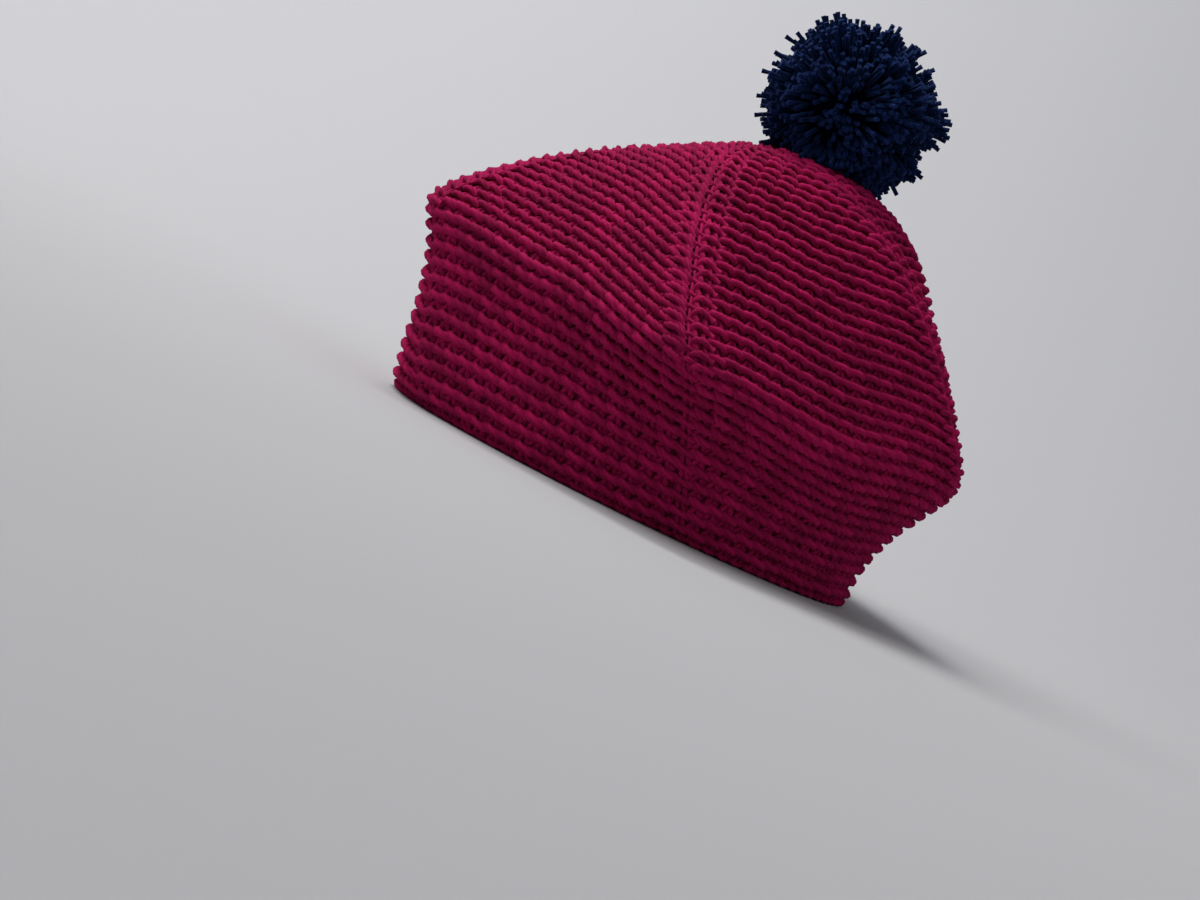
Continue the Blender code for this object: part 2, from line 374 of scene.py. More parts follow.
def triangles(item):
    return sum(len(face.vertices) - 2 for face in item.data.polygons)


TOTAL = {"triangles": 0}


def dressed(item, slot, *nodes):
    """Makes a piece ride on the body and stand for the named solids. Its slot argument is not used."""
    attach(item, "root")
    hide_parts(*nodes)
    TOTAL["triangles"] += triangles(item)
    print("%-22s %7d triangles" % (item.name, triangles(item)))


# %% [markdown]
# Wool yarn is matt, with a soft light at its edges from its fuzz. Three plies are twisted together, so
# the yarn has slanted furrows, and its dye takes a little unevenly. One shader group gives the colour and
# the fine relief of any yarn here: the furrows come from where a point lies round the strand, the fibres
# from noise that is drawn out along it. Down in the furrows and between the fibres the colour is darker,
# which is painted shade. An image of yarn would have to be fitted to every strand.

# %% Wool materials
PLIES = 3
PLY_BREADTH = 0.6           # below 1 the furrows are narrow
FIBRES_ROUND = 1.6          # how fast the fibres' noise changes round the strand, along it and over the hat
FIBRES_ALONG = 260.0
FIBRES_OVER_HAT = 90.0
FIBRE_SCALE = 2.6
FUZZ_SCALE = 1500.0
DYE_SCALE = 45.0
FIBRE_RELIEF = 0.55         # heights of fibres and fuzz, as shares of a ply's
FUZZ_RELIEF = 0.30
BUMP_STRENGTH = 0.9
FIBRE_LIFT = 0.5            # how far fibres and plies lift the colour out of the painted shade of the furrows
PLY_LIFT = 0.75


def wool_group():
    tree, given, result = new_group(
        "Wool yarn", "ShaderNodeTree",
        {"Colour": "Color", "Furrow": "Color", "Relief": "Float", "Blotches": "Float"},
        {"Colour": "Color", "Normal": "Vector"})
    place = add("ShaderNodeTexCoord", out="Object")
    strand = add("ShaderNodeAttribute", out="Vector", attribute_name="strand_round")
    length = add("ShaderNodeAttribute", out="Fac", attribute_name="strand_length")
    tone = add("ShaderNodeAttribute", out="Fac", attribute_name="tone")
    strand_parts = parts(strand)
    angle = sums("ARCTAN2", strand_parts["Y"], strand_parts["X"])
    crest = sums("COSINE", times(angle, PLIES))
    ply = sums("POWER", sums("MULTIPLY_ADD", crest, 0.5, 0.5), PLY_BREADTH)

    drawn_out = scaled(strand, FIBRES_ROUND)
    along = add("ShaderNodeCombineXYZ", {"Z": times(length, FIBRES_ALONG)})
    drawn_out = vector_sums("ADD", drawn_out, along)
    drawn_out = moved(drawn_out, place, FIBRES_OVER_HAT)
    fibres = noise(drawn_out, FIBRE_SCALE, 4.0)
    fuzz = noise(place, FUZZ_SCALE, 3.0)
    dye = noise(place, DYE_SCALE, 3.0)

    height = sums("MULTIPLY_ADD", fibres, FIBRE_RELIEF, sums("MULTIPLY_ADD", fuzz, FUZZ_RELIEF, ply))
    normal = add("ShaderNodeBump", {
        "Strength": BUMP_STRENGTH, "Distance": given["Relief"], "Height": height})

    # Painted shade: the colour sinks to the furrow colour down in the furrows and between the fibres.
    lift = sums("MULTIPLY_ADD", fibres, FIBRE_LIFT, times(ply, PLY_LIFT))
    colour = add("ShaderNodeMix", {"Factor": lift, "A": given["Furrow"], "B": given["Colour"]},
                 data_type="RGBA")
    # In the pompom the tone also carries painted shade at the roots and painted light at the tips.
    dye_tone_and_shade = sums("SUBTRACT", sums("ADD", dye, tone), 1.0)
    brightness = sums("MULTIPLY_ADD", dye_tone_and_shade, given["Blotches"], 1.0)
    colour = add("ShaderNodeMix", {
        "Factor": 1.0, "A": colour,
        "B": add("ShaderNodeCombineColor", dict.fromkeys(("Red", "Green", "Blue"), brightness)),
    }, data_type="RGBA", blend_type="MULTIPLY")
    tree.links.new(colour, result["Colour"])
    tree.links.new(normal, result["Normal"])
    return tree


WOOL = wool_group()


def wool(name, colour, furrow_shade, sheen, sheen_tint, relief=0.00012, blotches=0.45, specular=0.10):
    made, shader = new_material(name)
    tree = made.node_tree
    look = tree.nodes.new("ShaderNodeGroup")
    look.node_tree = WOOL
    set_values(look, {
        "Colour": (*colour, 1), "Furrow": (*furrow_shade, 1), "Relief": relief, "Blotches": blotches})
    tree.links.new(look.outputs["Colour"], shader.inputs["Base Color"])
    tree.links.new(look.outputs["Normal"], shader.inputs["Normal"])
    set_values(shader, {"Roughness": 0.9, "Specular IOR Level": specular, "Sheen Weight": sheen,
                        "Sheen Roughness": 0.45, "Sheen Tint": (*sheen_tint, 1)})
    return made


# The second colour of each yarn is painted shade for its furrows.
RASPBERRY = wool("raspberry_wool_yarn", (0.33, 0.005, 0.066), (0.22, 0.003, 0.042), 0.14, (1.0, 0.06, 0.30))
# Painted shade: the ground behind the stitches is a darker raspberry than the yarn.
RASPBERRY_PAINTED_SHADE = wool("raspberry_wool_ground_painted_shade", (0.20, 0.003, 0.042), (0.13, 0.002, 0.028), 0.0,
                      (1.0, 0.2, 0.4))
NAVY = wool("navy_wool_yarn", (0.003, 0.010, 0.050), (0.001, 0.003, 0.016), 0.12, (0.10, 0.35, 1.0),
            blotches=0.85)
# Painted shade: the pompom's heart, far darker than the navy yarn.
NAVY_PAINTED_SHADE = wool("navy_wool_heart_painted_shade", (0.0008, 0.0015, 0.007), (0.0005, 0.001, 0.004), 0.0, (0.2, 0.4, 1.0),
                 specular=0.0)
print("materials:", [m.name for m in (RASPBERRY, RASPBERRY_PAINTED_SHADE, NAVY, NAVY_PAINTED_SHADE)])

# %% [markdown]
# Yarn is a tube with three lobes, one for each ply, turned as it runs. A group of geometry nodes sweeps
# it along any path: it tilts the path more and more along its length, and keeps for the shader where each
# point lies round the strand and how far along. A bevelled curve would make a tube too, but a round one
# with no plies.


# %% Geometry nodes: yarn swept along a path
def yarn_group():
    tree, given, result = new_group(
        "Swept yarn", "GeometryNodeTree",
        {"Path": "Geometry", "Yarn radius": "Float", "Furrow depth": "Float", "Ply length": "Float"},
        {"Yarn": "Geometry"})
    length = add("GeometryNodeSplineParameter", out="Length")
    around = times(add("GeometryNodeSplineParameter", out="Factor"), 2 * math.pi)
    path = stored(given["Path"], "strand_length", length, "FLOAT")
    tilt = times(sums("DIVIDE", length, given["Ply length"]), 2 * math.pi)
    path = add("GeometryNodeSetCurveTilt", {"Curve": path, "Tilt": tilt})
    section = add("GeometryNodeCurveStar", {
        "Points": PLIES, "Outer Radius": given["Yarn radius"],
        "Inner Radius": times(given["Yarn radius"], sums("SUBTRACT", 1.0, given["Furrow depth"])),
        "Twist": 0.0}, out="Curve")
    section = stored(section, "strand_round", add("ShaderNodeCombineXYZ", {
        "X": sums("COSINE", around), "Y": sums("SINE", around)}))
    yarn = add("GeometryNodeCurveToMesh", {
        "Curve": path, "Profile Curve": section, "Fill Caps": True,
        "Scale": add("GeometryNodeInputRadius")})
    yarn = add("GeometryNodeSetShadeSmooth", {"Geometry": yarn})
    tree.links.new(yarn, result["Yarn"])
    return tree


YARN = yarn_group()
FURROW_DEPTH = 0.11
PLY_LENGTH = 0.016


def swept(path, radius, ply_length):
    return add("GeometryNodeGroup", {
        "Path": path, "Yarn radius": radius, "Furrow depth": FURROW_DEPTH, "Ply length": ply_length},
        node_tree=YARN)


def finished(tree, yarn, given, result):
    """Ends a tree: what it copied becomes a mesh of its own and gets its wool."""
    yarn = add("GeometryNodeRealizeInstances", {"Geometry": yarn})
    yarn = add("GeometryNodeSetMaterial", {"Geometry": yarn, "Material": given["Wool"]})
    tree.links.new(yarn, result["Yarn"])
    return tree


print("yarn sections have", 2 * PLIES, "corners")

# %% [markdown]
# A stitch is drawn once, as paths in a unit cell: across the stitch, down to the next round, and out of
# the wall. The tree puts a copy of the paths on each stitch's point, and stretches it between three
# directions that the point carries. The yarn is swept only after that, so a wide stitch and a narrow one
# have yarn of one thickness. Scaling a finished mesh would make the yarn fat or thin.


# %% Geometry nodes: stitches on points
FAR_BELOW = -10.0
WANDER_SCALE = 260.0    # how fast the yarn wanders off its path, and how far, times its unevenness
WANDER_SHARE = 2.5
YARN_RADIUS = 0.00122
UNEVENNESS = 0.00030
LOWEST = 1.15 * YARN_RADIUS     # no path goes lower, so the legs of the last round stay off the floor
MM = 0.001


def stitches_tree():
    tree, given, result = new_group(
        "Stitches on points", "GeometryNodeTree",
        {"Points": "Geometry", "Stitch paths": "Object", "Yarn radius": "Float", "Unevenness": "Float",
         "Lowest": "Float", "Seed": "Int", "Wool": "Material"},
        {"Yarn": "Geometry"})
    shift = chance((-1.0, -1.0, -1.0), (1.0, 1.0, 1.0), given["Seed"], "FLOAT_VECTOR")
    tone = chance(0.0, 1.0, given["Seed"])
    points = add("GeometryNodeSetPosition", {
        "Geometry": given["Points"], "Offset": scaled(shift, given["Unevenness"])})
    points = stored(points, "centre", add("GeometryNodeInputPosition"))
    points = stored(points, "tone", tone, "FLOAT")
    paths = add("GeometryNodeObjectInfo", {"Object": given["Stitch paths"]}, out="Geometry")
    placed = add("GeometryNodeInstanceOnPoints", {"Points": points, "Instance": paths})
    placed = add("GeometryNodeRealizeInstances", {"Geometry": placed})

    centre = named("centre")
    cell = parts(vector_sums("SUBTRACT", add("GeometryNodeInputPosition"), centre))
    place = centre
    for direction, amount in (("across", "X"), ("down", "Y"), ("out", "Z")):
        place = moved(place, named(direction), cell[amount])
    place = moved(place, flow(place, WANDER_SCALE), times(given["Unevenness"], WANDER_SHARE))
    place = vector_sums("MAXIMUM", place, add("ShaderNodeCombineXYZ", {
        "X": FAR_BELOW, "Y": FAR_BELOW, "Z": given["Lowest"]}))
    placed = add("GeometryNodeSetPosition", {"Geometry": placed, "Position": place})
    return finished(tree, swept(placed, given["Yarn radius"], PLY_LENGTH), given, result)


STITCHES = stitches_tree()


def eased(points, count):
    """A smooth path through given points."""
    points = [Vector(p) for p in points]
    padded = [2 * points[0] - points[1], *points, 2 * points[-1] - points[-2]]
    path = []
    for i in range(count):
        place = i / (count - 1) * (len(points) - 1)
        k = min(int(place), len(points) - 2)
        t = place - k
        a, b, c, d = padded[k:k + 4]
        path.append((2 * b + (c - a) * t + (2 * a - 5 * b + 4 * c - d) * t ** 2
                     + (3 * b - a - 3 * c + d) * t ** 3) / 2)
    return path


def stitch_paths(name, strands):
    """A curve object of strands: thickness, number of points, and listed points, out in millimetres."""
    curve = bpy.data.curves.new(name, "CURVE")
    curve.dimensions = "3D"
    for thickness, count, points in strands:
        path = eased([(across, down, out * MM) for across, down, out in points], count)
        spline = curve.splines.new("POLY")
        spline.points.add(len(path) - 1)
        for point, place in zip(spline.points, path):
            point.co = (*place, 1)
            point.radius = thickness
    return put(name, curve)


def point_mesh(name, frames):
    """A mesh of bare points. Each frame is a centre and the three directions that a stitch is drawn in."""
    values = np.array(frames, dtype=np.float32)
    mesh = bpy.data.meshes.new(name)
    mesh.from_pydata(values[:, 0].tolist(), [], [])
    for i, key in enumerate(("across", "down", "out"), start=1):
        layer = mesh.attributes.new(key, "FLOAT_VECTOR", "POINT")
        layer.data.foreach_set("vector", values[:, i].ravel())
    return mesh


def work_stitches(name, frames, paths, seed, radius=YARN_RADIUS, unevenness=UNEVENNESS, lowest=LOWEST):
    item = grown(name, point_mesh(name, frames), STITCHES, {
        "Stitch paths": paths, "Yarn radius": radius, "Unevenness": unevenness, "Lowest": lowest,
        "Seed": seed, "Wool": RASPBERRY})
    dressed(item, "beret_wool", "beret")


print("yarn is %.1f mm thick" % (2000 * YARN_RADIUS))

# %% [markdown]
# Behind the stitches that show lies more yarn, which closes the wall. Real stitches cross there so
# tightly that no light comes through, and the holes between them are dark with shade. One thin closed
# shell in the wall's middle stands for that yarn, and its colour is a darker raspberry than the yarn's:
# painted shade for the holes. It is a loft through the rings of the grid.

# %% The wall's ground, darkened as painted shade
GROUND_OUTSIDE = 0.0028
GROUND_INSIDE = 0.0033
GROUND_STEP = 3
GROUND_FOOT = 0.0014


def wall_ground():
    def layer(depth):
        rings = FACE - OUTWARD * depth
        rings[-1, :, 2] = GROUND_FOOT
        return rings[:, ::GROUND_STEP]

    outside, inside = layer(GROUND_OUTSIDE), layer(GROUND_INSIDE)
    rings = np.concatenate([outside, inside[::-1]])
    count, columns = rings.shape[:2]
    faces = []
    for r in range(count):
        s = (r + 1) % count
        for c in range(columns):
            d = (c + 1) % columns
            faces.append((r * columns + c, s * columns + c, s * columns + d, r * columns + d))
    mesh = bpy.data.meshes.new("wall_ground")
    mesh.from_pydata(rings.reshape(-1, 3).tolist(), [], faces)
    mesh.shade_smooth()
    # Painted shade: the ground is coloured darker than the yarn, for the holes that lie in shade.
    mesh.materials.append(RASPBERRY_PAINTED_SHADE)
    return put("wall_ground", mesh)


dressed(wall_ground(), "beret_wool", "beret")

# %% [markdown]
# The stitches are single crochet, worked through the back loop only. The loop that is left in front makes
# a ridge: in each stitch one strand runs along the round, slants a little towards the rim and dives under
# the next one. Under the ridge two legs spread down to the next round, and between the legs of
# neighbouring stitches a dark hole stays open. Between two seams a round gets as many stitches as fit.
# The band's yarn is fuller and its legs lie deeper, so that its grooves read as lines.

# %% Plain stitches of the crown and the band
STITCH_WIDTH = 0.0069
SEAM_WIDTH = 0.0150
SEAM_SHARE = 0.55       # of a wedge, near the centre
BAND_SEAM_WIDTH = 0.0076

CROWN_STITCH = (
    # thickness, number of points, and the path: across, down, and out in millimetres
    (1.18, 7, ((-0.63, -0.10, -1.9), (-0.34, -0.05, -0.4), (0.0, 0.0, 0.25),
               (0.34, 0.05, -0.4), (0.63, 0.10, -1.9))),
    (0.94, 5, ((-0.05, 0.12, -2.1), (-0.11, 0.38, -1.9), (-0.19, 0.66, -1.8), (-0.29, 0.98, -2.1))),
    (0.94, 5, ((0.08, 0.12, -2.1), (0.14, 0.38, -1.9), (0.22, 0.66, -1.8), (0.32, 0.98, -2.1))),
)
BAND_STITCH = (
    (1.44, 7, ((-0.62, -0.09, -1.9), (-0.34, -0.06, -0.55), (0.0, 0.0, 0.1),
               (0.34, 0.06, -0.55), (0.62, 0.09, -1.9))),
    (1.14, 5, ((-0.06, 0.14, -2.3), (-0.13, 0.38, -2.2), (-0.20, 0.64, -2.2), (-0.28, 0.94, -2.3))),
    (1.14, 5, ((0.09, 0.14, -2.3), (0.16, 0.38, -2.2), (0.23, 0.64, -2.2), (0.31, 0.94, -2.3))),
)


def round_lengths(row):
    """How far each column lies along a round from column 0, and the whole length."""
    ring = ROUNDS[row]
    steps = np.linalg.norm(np.roll(ring, -1, axis=0) - ring, axis=1)
    return np.concatenate([[0.0], np.cumsum(steps)])


def turn_at(place, lengths):
    """The turn of a point that lies so far along a round."""
    return 2 * math.pi * np.interp(place, lengths, np.arange(len(lengths))) / COLUMNS


def directions(row, turn, width, sheared=False):
    """Centre, across, down and out of a stitch. A sheared one keeps to its column, as a seam does."""
    nudge = math.radians(0.5)
    centre = sample(ROUNDS, row, turn)
    along = unit(sample(ROUNDS, row, turn + nudge) - sample(ROUNDS, row, turn - nudge))
    above = min(row, LAST_ROUND - 1)
    step = sample(ROUNDS, above + 1, turn) - sample(ROUNDS, above, turn)
    if not sheared:
        step = step - along * np.dot(step, along)
    return centre, along * width, step, sample(ROUNDS_OUTWARD, row, turn)


def seam_width(row, panel_length):
    return BAND_SEAM_WIDTH if row > FOLD_ROUND else min(SEAM_WIDTH, SEAM_SHARE * panel_length)


def panel_frames(panel, rows):
    """Frames of the stitches between one seam and the next, for some of the rounds."""
    frames = []
    for row in rows:
        lengths = round_lengths(row)
        first, last = panel * COLUMNS // CORNERS, (panel + 1) * COLUMNS // CORNERS
        start, end = lengths[first], lengths[last]
        trim = seam_width(row, end - start) / 2
        room = end - start - 2 * trim
        count = max(1, round(room / STITCH_WIDTH))
        for i in range(count):
            turn = turn_at(start + trim + room * (i + 0.5) / count, lengths)
            frames.append(directions(row, turn, room / count))
    return frames


crown_paths = stitch_paths("crown_stitch_paths", CROWN_STITCH)
band_paths = stitch_paths("band_stitch_paths", BAND_STITCH)
STITCH_COUNT = 0
for panel in range(CORNERS):
    crown = panel_frames(panel, range(1, FOLD_ROUND))
    band = panel_frames(panel, range(FOLD_ROUND, LAST_ROUND))
    STITCH_COUNT += len(crown) + len(band)
    work_stitches("crown_stitches_%d" % (panel + 1), crown, crown_paths, 100 + panel)
    work_stitches("band_stitches_%d" % (panel + 1), band, band_paths, 200 + panel)
print("plain stitches:", STITCH_COUNT)

# %% [markdown]
# At a seam each round gains a stitch, so three stitches crowd together. The ridge from the left bends
# down into the seam, the one on the right starts low in it and climbs out, fat legs lie beside them, and
# one thin strand runs down the middle between two holes. The seam's cell is sheared, so that its rounds
# join into one line down the crown. The band gains no stitches, so its seam is one stitch wide and faint.

# %% Increase seams
CROWN_SEAM_STITCH = (
    # the ridge from the left, which bends down, and a short strand that fills the space under it
    (1.15, 6, ((-0.62, -0.10, -1.9), (-0.44, -0.03, -0.1), (-0.28, 0.10, 0.1), (-0.14, 0.44, -1.2))),
    (1.15, 5, ((-0.34, 0.44, -1.6), (-0.24, 0.58, -0.6), (-0.14, 0.84, -0.8), (-0.10, 1.06, -1.9))),
    # the thin strand down the middle, and the one that crosses over it
    (0.72, 5, ((-0.02, -0.14, -1.9), (0.0, 0.22, -1.2), (0.01, 0.62, -1.1), (-0.01, 1.02, -1.9))),
    (0.85, 5, ((-0.20, 0.10, -1.5), (-0.07, -0.12, -1.1), (0.07, -0.16, -1.1), (0.20, -0.02, -1.5))),
    # the ridge that starts in the seam and runs out to the right, and the strand under it
    (1.15, 6, ((0.09, 0.36, -1.7), (0.15, 0.10, -0.3), (0.32, 0.0, 0.1), (0.62, 0.07, -1.9))),
    (1.05, 5, ((0.12, 0.34, -1.8), (0.16, 0.52, -1.0), (0.19, 0.74, -1.0), (0.20, 1.0, -1.8))),
    # the outer legs
    (0.95, 5, ((-0.38, 0.20, -2.0), (-0.38, 0.45, -1.6), (-0.39, 0.70, -1.5), (-0.43, 1.0, -1.9))),
    (0.95, 5, ((0.39, 0.20, -2.0), (0.40, 0.45, -1.6), (0.42, 0.70, -1.5), (0.46, 1.0, -1.9))),
)
BAND_SEAM_STITCH = (
    (1.25, 6, ((-0.66, -0.05, -1.8), (-0.36, 0.0, -0.5), (0.0, 0.08, -0.6),
               (0.36, 0.04, -0.5), (0.66, 0.06, -1.8))),
    (0.92, 5, ((-0.14, 0.14, -2.1), (-0.14, 0.40, -1.8), (-0.16, 0.68, -1.8), (-0.20, 0.98, -2.0))),
    (0.92, 5, ((0.14, 0.14, -2.1), (0.14, 0.40, -1.8), (0.16, 0.68, -1.8), (0.20, 0.98, -2.0))),
)


def seam_frames(rows):
    return [directions(row, 2 * math.pi * seam / CORNERS,
                       seam_width(row, round_lengths(row)[-1] / CORNERS), sheared=True)
            for seam in range(CORNERS) for row in rows]


crown_seam_paths = stitch_paths("crown_seam_paths", CROWN_SEAM_STITCH)
band_seam_paths = stitch_paths("band_seam_paths", BAND_SEAM_STITCH)
work_stitches("crown_seams", seam_frames(range(1, FOLD_ROUND + 1)), crown_seam_paths, 300)
work_stitches("band_seams", seam_frames(range(FOLD_ROUND + 1, LAST_ROUND)), band_seam_paths, 350)

# %% [markdown]
# The last round ends in a chain along the rim. Seen from below it is two rows of slanted strands that
# lean towards each other. Seen from the side only the outer row shows, as a thin bumpy edge. The chain
# rests on the ground, so its strands lie one yarn's radius above it.

# %% The rim's edge
EDGE_STITCH = (
    (1.0, 6, ((-0.62, -0.40, -0.9), (-0.25, -0.14, 0.0), (0.25, 0.14, 0.0), (0.62, 0.40, -0.9))),
)
EDGE_WIDTH = 0.0060
EDGE_LEAN = 0.0030
EDGE_UNEVENNESS = 0.00012
EDGE_ROWS = ((0.0012, 1, 0.25), (0.0036, -1, 0.75))     # inset, which way it leans, offset in stitches


def edge_frames():
    lengths = round_lengths(LAST_ROUND)
    count = round(lengths[-1] / EDGE_WIDTH)
    frames = []
    for inset, lean, offset in EDGE_ROWS:
        for i in range(count):
            turn = turn_at(lengths[-1] * (i + offset) / count, lengths)
            point, across, _, outward = directions(LAST_ROUND, turn, lengths[-1] / count)
            inward = -unit(outward * (1, 1, 0))
            centre = point + inward * inset + np.array((0, 0, YARN_RADIUS))
            frames.append((centre, across, inward * EDGE_LEAN * lean, np.array((0.0, 0.0, -1.0))))
    return frames


edge_paths = stitch_paths("edge_stitch_paths", EDGE_STITCH)
work_stitches("rim_edge", edge_frames(), edge_paths, 400, unevenness=EDGE_UNEVENNESS, lowest=YARN_RADIUS)

# %% [markdown]
# Inside the hat the back of each stitch shows: a loop that arches over the foot of the one above it, row
# on row like scales. One strand for each stitch is enough for that side. Another ring of loops hangs from
# the first round with its feet at the centre, and closes it.

# %% The inside of the wall
INNER_STITCH = (
    (1.52, 7, ((-0.50, 1.05, 2.5), (-0.40, 0.44, 3.3), (0.0, 0.0, 3.6),
               (0.40, 0.44, 3.3), (0.50, 1.05, 2.5))),
)
INNER_YARN_RADIUS = 0.00120
INNER_UNEVENNESS = 0.00012
FEWEST_LOOPS = 5
CENTRE_LOOP_LENGTH = 0.85       # in rounds


def inner_frames(rows):
    frames = []
    for row in rows:
        lengths = round_lengths(row)
        count = max(FEWEST_LOOPS, round(lengths[-1] / STITCH_WIDTH))
        for i in range(count):
            turn = turn_at(lengths[-1] * (i + 0.5 * (row % 2)) / count, lengths)
            centre, across, down, outward = directions(row, turn, lengths[-1] / count)
            frames.append((centre, across, down, -outward))
    return frames


def centre_frames():
    """The loops that the hat starts from: they hang from the first round with their feet at the centre."""
    return [(centre, across, -CENTRE_LOOP_LENGTH * down, inward)
            for centre, across, down, inward in inner_frames([1])]


inner_paths = stitch_paths("inner_stitch_paths", INNER_STITCH)
work_stitches("inner_crown_stitches", centre_frames() + inner_frames(range(1, FOLD_ROUND)), inner_paths,
              500, INNER_YARN_RADIUS, INNER_UNEVENNESS)
work_stitches("inner_band_stitches", inner_frames(range(FOLD_ROUND, LAST_ROUND)), inner_paths,
              600, INNER_YARN_RADIUS, INNER_UNEVENNESS)
for paths in (crown_paths, band_paths, crown_seam_paths, band_seam_paths, edge_paths, inner_paths):
    bpy.data.objects.remove(paths)

# %% [markdown]
# The pompom is many cut strands of yarn, tied tightly in the middle, so that they stand out all round and
# their cut ends make its surface. The tree spreads the strands evenly over a ball, gives each its own
# length and bend, parts them round a whorl on the near side, and lifts those at the foot onto the crown,
# where they splay. Hair particles could do the same, but they can't be kept as a mesh so simply.

# %% Geometry nodes: the pompom's strands
POMPOM_DIAMETER = 0.069
POMPOM_RISE = 0.0248
POMPOM_CENTRE = Vector((CROWN_SET_BACK, 0, CROWN_HEIGHT + POMPOM_RISE))
POMPOM_TRIM = 0.0014        # leaves room for strays inside the solid's radius
POMPOM_SEAT = 0.0012        # above the solid crown
STRAND_POINTS = 5
GOLDEN_TURN = math.pi * (3 - math.sqrt(5))
JITTER = (0.05, 0.05, 0.05)
BEND_SCALE = 3.6            # how fast bends, clumps and locks change over the ball
CLUMP_SCALE = 2.6
LOCK_SCALE = 2.4
BEND_TOGETHER = 5.0         # how far neighbours bend the same way, and each by itself
BEND_ALONE = 0.35
WHORL_FALL = 5.0            # powers by which the whorl fades, short strands get rare and the crown falls
SHORTNESS_FALL = 1.5
SEAT_FALL = 2.1
LEAST_STRAY = 0.3
TIP_LIGHT_POWER = 2.5              # power by which painted light grows towards a strand's tip, from painted shade at its root
PAINTED_LIGHT_RISE = 1.8
ROOT_PAINTED_SHADE = -0.95
TONE_CHANCE = 0.8
ROOT_THICKNESS = 0.97
TIP_THICKENING = 0.05


